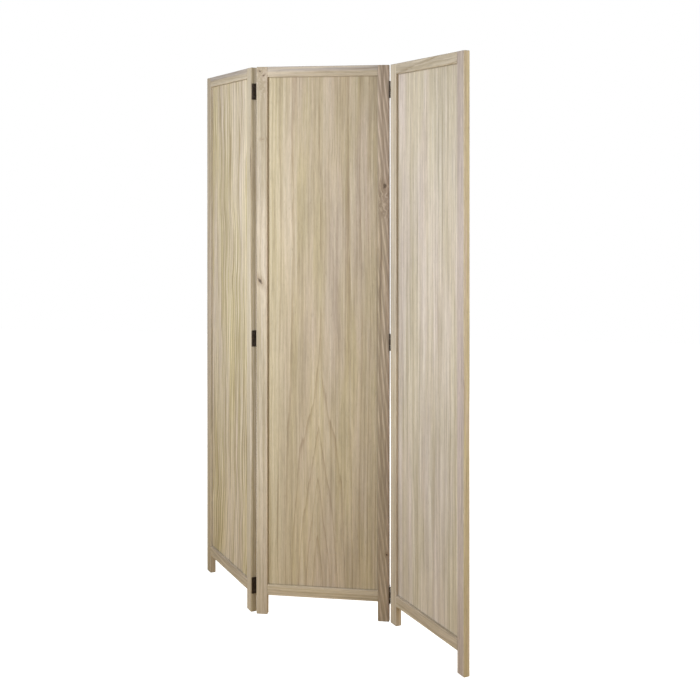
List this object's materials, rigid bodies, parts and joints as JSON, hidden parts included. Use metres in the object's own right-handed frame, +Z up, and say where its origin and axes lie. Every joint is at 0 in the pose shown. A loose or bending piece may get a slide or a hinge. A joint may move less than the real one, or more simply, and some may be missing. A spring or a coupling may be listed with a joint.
{
  "type": "folding room divider screen",
  "caption": "Free-standing folding wooden screen: framed, veneered panels hinged in a zigzag on steel butt hinges.",
  "frame": {"origin": "on the floor, midway along the middle panel and midway through its thickness", "axes": "+Z up; +X along the middle panel, to the right when seen from the front; the front faces -Y"},
  "size_m": [0.929, 0.7016, 1.7],
  "materials": {
    "frame_wood": "sanded, unfinished",
    "veneered_board": "sanded, unfinished",
    "dowel_wood": "raw",
    "hinge_steel": "dark brown coating, satin",
    "screw_steel": "dark brown coating, satin"
  },
  "bodies": {
    "middle_panel": {"left_joint_bottom_hinge_middle_leaf": "hinge_steel", "left_joint_bottom_hinge_pin": "hinge_steel", "left_joint_middle_hinge_middle_leaf": "hinge_steel", "left_joint_middle_hinge_pin": "hinge_steel", "left_joint_screws_in_middle_panel": "screw_steel", "left_joint_top_hinge_middle_leaf": "hinge_steel", "left_joint_top_hinge_pin": "hinge_steel", "middle_panel_board": "veneered_board", "middle_panel_bottom_rail": "frame_wood", "middle_panel_dowels": "dowel_wood", "middle_panel_left_stile": "frame_wood", "middle_panel_right_stile": "frame_wood", "middle_panel_top_rail": "frame_wood", "right_joint_bottom_hinge_middle_leaf": "hinge_steel", "right_joint_bottom_hinge_pin": "hinge_steel", "right_joint_middle_hinge_middle_leaf": "hinge_steel", "right_joint_middle_hinge_pin": "hinge_steel", "right_joint_screws_in_middle_panel": "screw_steel", "right_joint_top_hinge_middle_leaf": "hinge_steel", "right_joint_top_hinge_pin": "hinge_steel"},
    "left_panel": {"left_joint_bottom_hinge_outer_leaf": "hinge_steel", "left_joint_middle_hinge_outer_leaf": "hinge_steel", "left_joint_screws_in_outer_panel": "screw_steel", "left_joint_top_hinge_outer_leaf": "hinge_steel", "left_panel_board": "veneered_board", "left_panel_bottom_rail": "frame_wood", "left_panel_dowels": "dowel_wood", "left_panel_hinge_stile": "frame_wood", "left_panel_outer_stile": "frame_wood", "left_panel_top_rail": "frame_wood"},
    "right_panel": {"right_joint_bottom_hinge_outer_leaf": "hinge_steel", "right_joint_middle_hinge_outer_leaf": "hinge_steel", "right_joint_screws_in_outer_panel": "screw_steel", "right_joint_top_hinge_outer_leaf": "hinge_steel", "right_panel_board": "veneered_board", "right_panel_bottom_rail": "frame_wood", "right_panel_dowels": "dowel_wood", "right_panel_hinge_stile": "frame_wood", "right_panel_outer_stile": "frame_wood", "right_panel_top_rail": "frame_wood"}
  },
  "joints": [
    {"name": "left_fold", "type": "hinge", "parent": "middle_panel", "child": "left_panel", "pos_m": [-0.2088, 0.0121, 0], "axis": [0, 0, 1], "range_deg": [-125, 55]},
    {"name": "right_fold", "type": "hinge", "parent": "middle_panel", "child": "right_panel", "pos_m": [0.2088, -0.0121, 0], "axis": [0, 0, 1], "range_deg": [-125, 55]}
  ]
}
